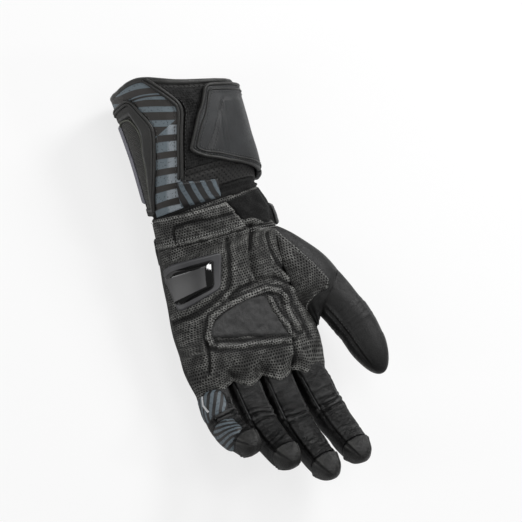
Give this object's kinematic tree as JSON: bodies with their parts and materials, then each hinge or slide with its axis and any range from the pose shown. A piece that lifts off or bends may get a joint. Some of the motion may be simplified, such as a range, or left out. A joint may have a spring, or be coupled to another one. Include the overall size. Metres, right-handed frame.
{
  "type": "riding glove",
  "caption": "Left-hand gauntlet motorcycle glove in black leather, with a textured palm, hard sliders, a padded cuff, a closing flap, a wrist strap and bending fingers.",
  "frame": {"origin": "centre of the flat crown of the knuckle guard, on which the glove rests with its palm up", "axes": "+Z out of the palm, +Y from the fingers to the cuff, +X to the thumb side"},
  "size_m": [0.1428, 0.2993, 0.0745],
  "materials": {
    "smooth_leather": "satin",
    "textured_leather": "matte, embossed grip dots",
    "perforated_leather": "satin, perforated",
    "striped_leather": "satin, grey and black stripes",
    "stretch": "matte elastic",
    "lining": "matte",
    "fastener": "fuzzy",
    "slider_plastic": "gloss",
    "flange_plastic": "satin",
    "pale_plastic": "satin"
  },
  "bodies": {
    "hand": {"palm_panel": "textured_leather", "back_panel": "smooth_leather", "hand_lining": "lining", "heel_patch": "textured_leather", "slider_flange": "flange_plastic", "palm_slider": "slider_plastic", "palm_patch": "smooth_leather", "thenar_pad": "textured_leather", "back_pads": "smooth_leather", "knuckle_foam": "flange_plastic", "knuckle_guard": "slider_plastic", "strap_loop": "fastener", "wrist_elastic": "stretch", "index_root": "stretch", "middle_root": "stretch", "ring_root": "stretch", "little_root": "stretch", "thumb_root": "smooth_leather"},
    "strap": {"wrist_strap": "smooth_leather", "strap_hook": "fastener"},
    "cuff": {"cuff_palm": "perforated_leather", "cuff_stripes": "striped_leather", "cuff_side": "perforated_leather", "cuff_back": "smooth_leather", "cuff_lining": "lining", "cuff_binding": "smooth_leather", "cuff_piping": "smooth_leather", "cuff_loop": "fastener", "cuff_frame": "smooth_leather", "cuff_slider": "pale_plastic", "cuff_pads": "smooth_leather"},
    "flap": {"cuff_flap": "smooth_leather", "flap_hook": "fastener", "flap_binding": "smooth_leather"},
    "thumb_base": {"thumb_base": "smooth_leather", "thumb_stretch": "stretch"},
    "thumb_tip": {"thumb_tip": "smooth_leather", "thumb_cap": "smooth_leather"},
    "index_base": {"index_base": "smooth_leather", "index_plate": "slider_plastic", "index_stretch": "stretch"},
    "index_tip": {"index_tip": "smooth_leather", "index_cap": "smooth_leather"},
    "middle_base": {"middle_base": "smooth_leather", "middle_plate": "slider_plastic", "middle_stretch": "stretch"},
    "middle_tip": {"middle_tip": "smooth_leather", "middle_cap": "smooth_leather"},
    "ring_base": {"ring_base": "smooth_leather", "ring_plate": "slider_plastic", "ring_stretch": "stretch"},
    "ring_tip": {"ring_tip": "smooth_leather", "ring_cap": "smooth_leather"},
    "little_base": {"little_base": "smooth_leather", "little_plate": "slider_plastic", "little_stretch": "stretch", "little_pad": "striped_leather"},
    "little_tip": {"little_tip": "smooth_leather", "little_cap": "smooth_leather"}
  },
  "joints": [
    {"name": "index_root_bend", "type": "hinge", "parent": "hand", "child": "index_base", "pos_m": [0.03629, -0.03129, 0.023], "axis": [-0.9962, -0.0872, 0], "range_deg": [-8, 42], "stiffness_Nm_per_rad": 0.6, "deforming": ["index_root"]},
    {"name": "index_middle_bend", "type": "hinge", "parent": "index_base", "child": "index_tip", "pos_m": [0.03885, -0.06057, 0.02765], "axis": [-0.9975, -0.071, 0], "range_deg": [-12, 48], "stiffness_Nm_per_rad": 0.5, "deforming": ["index_stretch"]},
    {"name": "middle_root_bend", "type": "hinge", "parent": "hand", "child": "middle_base", "pos_m": [0.01169, -0.0276, 0.023], "axis": [-1, 0, 0], "range_deg": [-8, 42], "stiffness_Nm_per_rad": 0.6, "deforming": ["middle_root"]},
    {"name": "middle_middle_bend", "type": "hinge", "parent": "middle_base", "child": "middle_tip", "pos_m": [0.01169, -0.05955, 0.02806], "axis": [-0.9999, -0.0163, 0], "range_deg": [-12, 48], "stiffness_Nm_per_rad": 0.5, "deforming": ["middle_stretch"]},
    {"name": "ring_root_bend", "type": "hinge", "parent": "hand", "child": "ring_base", "pos_m": [-0.01245, -0.02398, 0.023], "axis": [-0.9998, 0.0175, 0], "range_deg": [-8, 42], "stiffness_Nm_per_rad": 0.6, "deforming": ["ring_root"]},
    {"name": "ring_middle_bend", "type": "hinge", "parent": "ring_base", "child": "ring_tip", "pos_m": [-0.01294, -0.05192, 0.02843], "axis": [-1, 0.0019, 0], "range_deg": [-12, 48], "stiffness_Nm_per_rad": 0.5, "deforming": ["ring_stretch"]},
    {"name": "little_root_bend", "type": "hinge", "parent": "hand", "child": "little_base", "pos_m": [-0.03544, -0.02053, 0.023], "axis": [-0.9925, 0.1219, 0], "range_deg": [-8, 42], "stiffness_Nm_per_rad": 0.6, "deforming": ["little_root"]},
    {"name": "little_middle_bend", "type": "hinge", "parent": "little_base", "child": "little_tip", "pos_m": [-0.03822, -0.04317, 0.02911], "axis": [-0.9999, 0.0152, 0], "range_deg": [-12, 48], "stiffness_Nm_per_rad": 0.5, "deforming": ["little_stretch"]},
    {"name": "thumb_root_bend", "type": "hinge", "parent": "hand", "child": "thumb_base", "pos_m": [0.06, 0.04, 0.026], "axis": [-0.8861, -0.3696, -0.2798], "range_deg": [-5, 20], "stiffness_Nm_per_rad": 1.5, "deforming": ["thumb_root"]},
    {"name": "thumb_middle_bend", "type": "hinge", "parent": "thumb_base", "child": "thumb_tip", "pos_m": [0.07697, -0.00597, 0.03298], "axis": [-0.9141, -0.2849, -0.2887], "range_deg": [-8, 32], "stiffness_Nm_per_rad": 0.5, "deforming": ["thumb_stretch"]},
    {"name": "wrist_bend", "type": "hinge", "parent": "hand", "child": "cuff", "pos_m": [0.004, 0.103, 0.0305], "axis": [1, 0, 0], "range_deg": [-15, 18], "stiffness_Nm_per_rad": 4, "deforming": ["wrist_elastic"]},
    {"name": "flap_hinge", "type": "hinge", "parent": "cuff", "child": "flap", "pos_m": [0.03568, 0.14097, 0.00727], "axis": [0.0276, 0.9996, -0.0041], "range_deg": [0, 100]},
    {"name": "strap_hinge", "type": "hinge", "parent": "hand", "child": "strap", "pos_m": [0.04703, 0.08308, 0.04036], "axis": [0.1104, -0.9793, -0.1698], "range_deg": [0, 90]}
  ]
}
